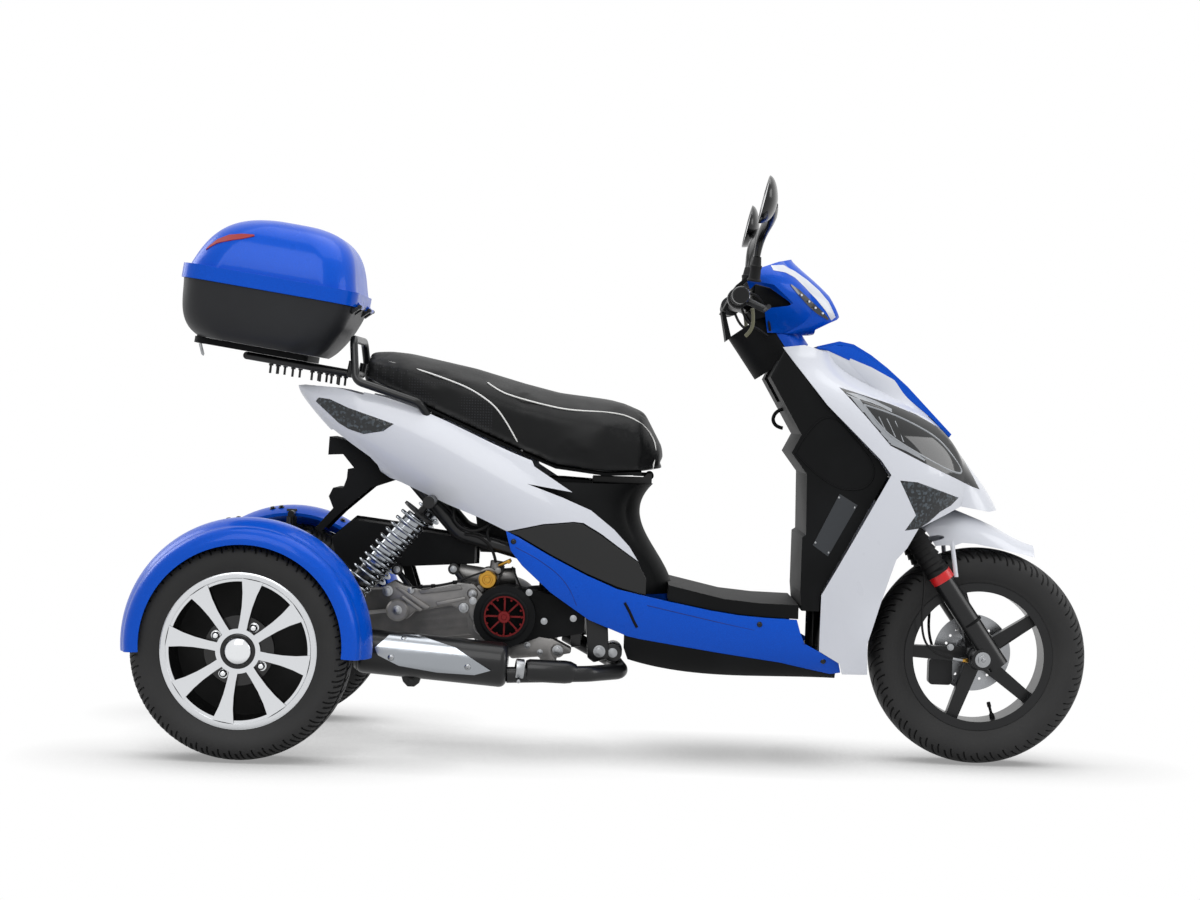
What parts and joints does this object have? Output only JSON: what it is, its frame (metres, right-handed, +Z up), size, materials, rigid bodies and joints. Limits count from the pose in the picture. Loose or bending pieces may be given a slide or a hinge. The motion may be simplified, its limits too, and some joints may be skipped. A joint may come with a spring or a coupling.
{
  "type": "motor trike",
  "caption": "Step-through motor trike with a steered front wheel, a driven rear axle, a hinged seat and a lidded top case.",
  "frame": {"origin": "on the ground, at the centre of the overall box", "axes": "+X forward, +Y to the rider's left, +Z up"},
  "size_m": [2.048, 0.89, 1.2379],
  "materials": {
    "blue_cowl": "deep blue gloss",
    "white_cowl": "white gloss",
    "black_plastic": "black grained",
    "black_rubber": "black matt",
    "tyre_rubber": "black rubber",
    "silver_alloy": "silver painted alloy",
    "engine_alloy": "cast grey",
    "black_alloy": "black coated",
    "black_steel": "black painted",
    "bright_steel": "ground",
    "chrome_plate": "polished",
    "seat_vinyl": "black vinyl",
    "smoked_lens": "smoked",
    "red_plastic": "red",
    "mirror_glass": "silvered"
  },
  "bodies": {
    "chassis": {"air_box": "black_plastic", "axle_carrier": "black_steel", "belly_tray": "black_plastic", "case_plate": "black_plastic", "case_tub": "black_plastic", "drive_case": "engine_alloy", "engine_case": "engine_alloy", "engine_shroud": "black_plastic", "exhaust_pipe": "black_steel", "fan_grille": "red_plastic", "fender_stays": "black_steel", "floorboard": "black_plastic", "frame": "black_steel", "front_cowl_left": "white_cowl", "front_cowl_right": "white_cowl", "front_indicators": "smoked_lens", "grab_rail": "black_steel", "headlamps": "smoked_lens", "heat_shield": "chrome_plate", "leg_shield": "black_plastic", "muffler": "black_steel", "nose_panel": "blue_cowl", "rear_fender_left": "blue_cowl", "rear_fender_right": "blue_cowl", "rear_mudguard": "black_plastic", "seat_cover": "black_plastic", "seat_hinge": "black_steel", "side_inserts": "black_plastic", "side_panel_left": "blue_cowl", "side_panel_right": "blue_cowl", "splash_guard": "black_plastic", "spring_units": "black_steel", "springs": "chrome_plate", "storage_box": "black_plastic", "tail_cowl_left": "white_cowl", "tail_cowl_right": "white_cowl", "tail_lamps": "smoked_lens"},
    "steering": {"fork": "black_steel", "fork_gaiters": "black_rubber", "front_fender": "white_cowl", "front_caliper": "black_alloy", "handlebar": "black_steel", "grips": "black_rubber", "brake_levers": "black_alloy", "handlebar_cowl": "blue_cowl", "dash_cowl": "black_plastic", "mirrors": "black_plastic", "mirror_glass": "mirror_glass"},
    "front_wheel": {"front_tyre": "tyre_rubber", "front_rim": "black_alloy", "front_disc": "bright_steel"},
    "rear_wheel_right": {"rear_tyre_right": "tyre_rubber", "rear_rim_right": "silver_alloy"},
    "rear_wheel_left": {"rear_tyre_left": "tyre_rubber", "rear_rim_left": "silver_alloy"},
    "seat": {"seat": "seat_vinyl", "seat_pan": "black_plastic"},
    "case_lid": {"case_lid": "blue_cowl"}
  },
  "joints": [
    {"name": "steering", "type": "hinge", "parent": "chassis", "child": "steering", "pos_m": [0.78069, 0, 0.23208], "axis": [-0.5736, 0, 0.8192], "range_deg": [-35, 35]},
    {"name": "front_wheel_spin", "type": "hinge", "parent": "steering", "child": "front_wheel", "pos_m": [0.787, 0, 0.2365], "axis": [0, 1, 0], "continuous": true},
    {"name": "rear_wheel_right_spin", "type": "hinge", "parent": "chassis", "child": "rear_wheel_right", "pos_m": [-0.773, -0.355, 0.228], "axis": [0, 1, 0], "continuous": true},
    {"name": "rear_wheel_left_spin", "type": "hinge", "parent": "chassis", "child": "rear_wheel_left", "pos_m": [-0.773, 0.355, 0.228], "axis": [0, 1, 0], "continuous": true},
    {"name": "seat_hinge", "type": "hinge", "parent": "chassis", "child": "seat", "pos_m": [0.057, 0, 0.606], "axis": [0, 1, 0], "range_deg": [0, 65]},
    {"name": "case_lid_hinge", "type": "hinge", "parent": "chassis", "child": "case_lid", "pos_m": [-0.579, 0, 0.949], "axis": [0, 1, 0], "range_deg": [0, 75]}
  ]
}
